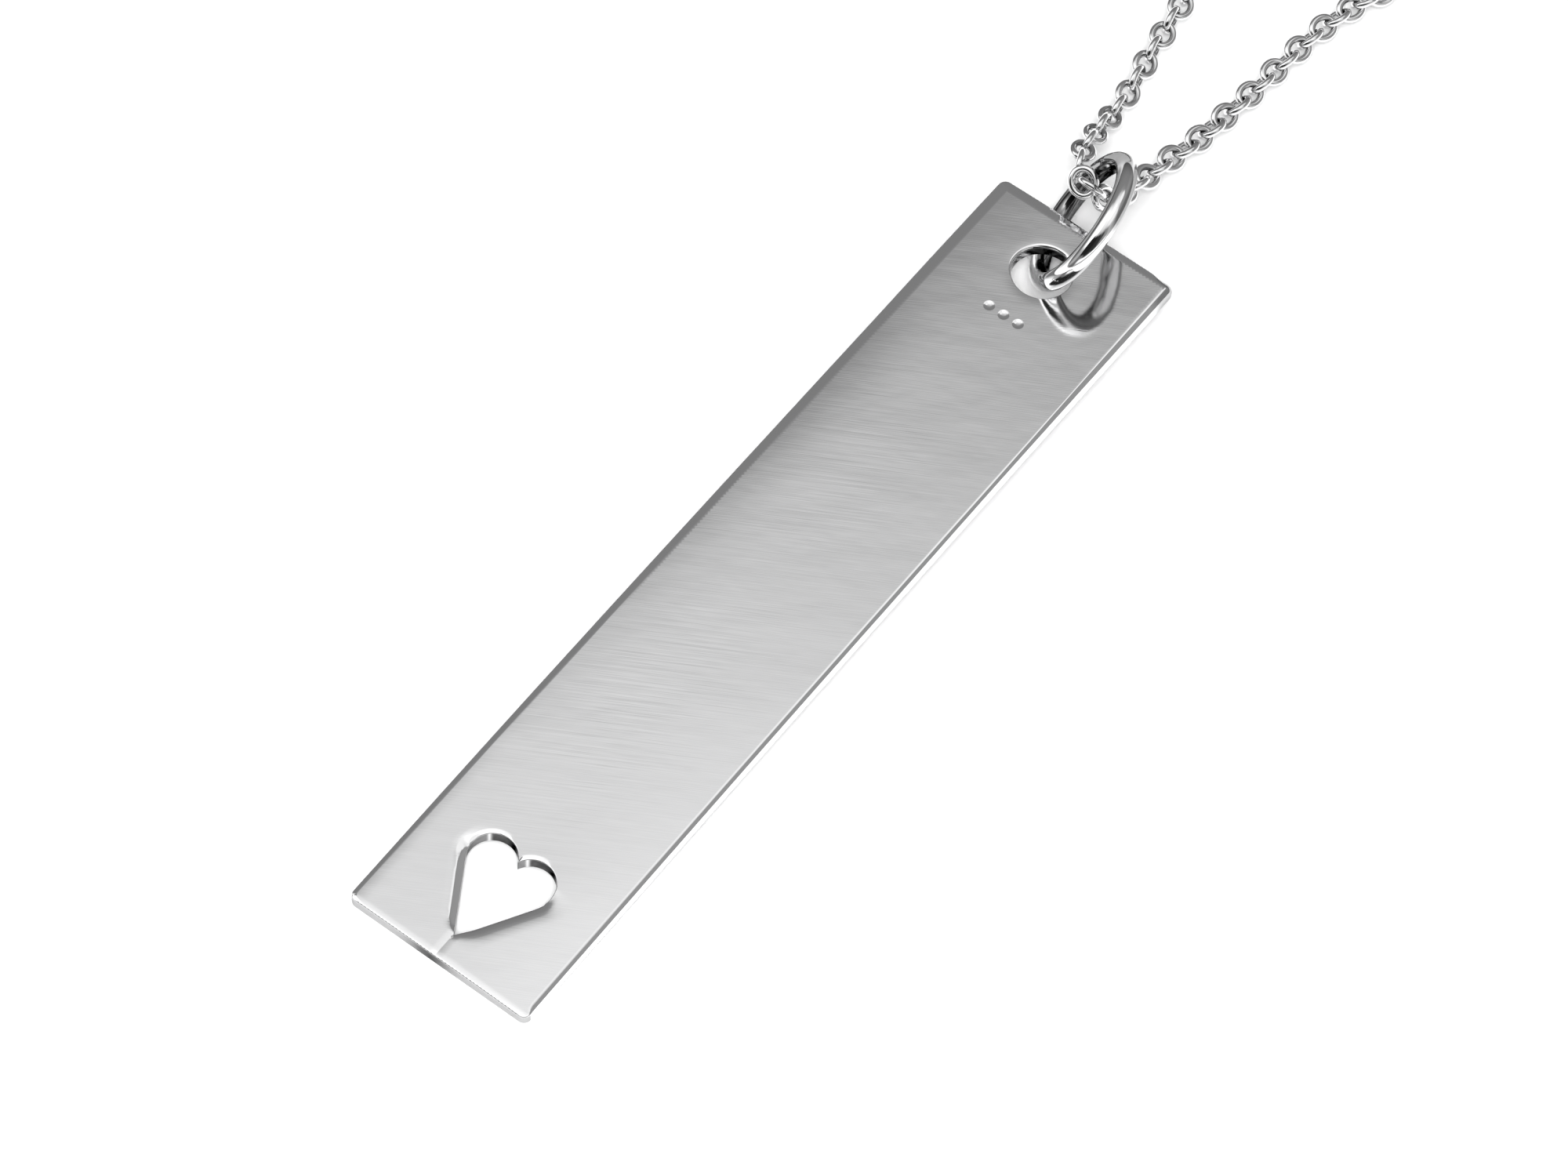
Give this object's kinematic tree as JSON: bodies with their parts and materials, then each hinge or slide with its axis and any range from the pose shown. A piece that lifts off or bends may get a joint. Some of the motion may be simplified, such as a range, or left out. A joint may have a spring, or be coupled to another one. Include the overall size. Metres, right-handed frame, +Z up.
{
  "type": "bar pendant necklace",
  "caption": "Flat silver bar pendant with a heart cut-out, hung by a round jump ring on a fine round-link chain with a plain barrel clasp, laid out flat.",
  "frame": {"origin": "middle of the whole necklace's footprint, on the surface that it lies on", "axes": "+Y from the bar along its length to the clasp, +X to the right seen from above with the bar towards the viewer, +Z up"},
  "size_m": [0.1212, 0.22, 0.0069],
  "materials": {
    "silver_bar": "polished silver sheet, softened by fine scratches along the bar's width",
    "silver_wire": "bright polished silver wire"
  },
  "bodies": {
    "root": {"bar": "silver_bar", "jump_ring": "silver_wire", "chain_front": "silver_wire", "chain_back": "silver_wire", "clasp": "silver_wire"}
  },
  "joints": []
}
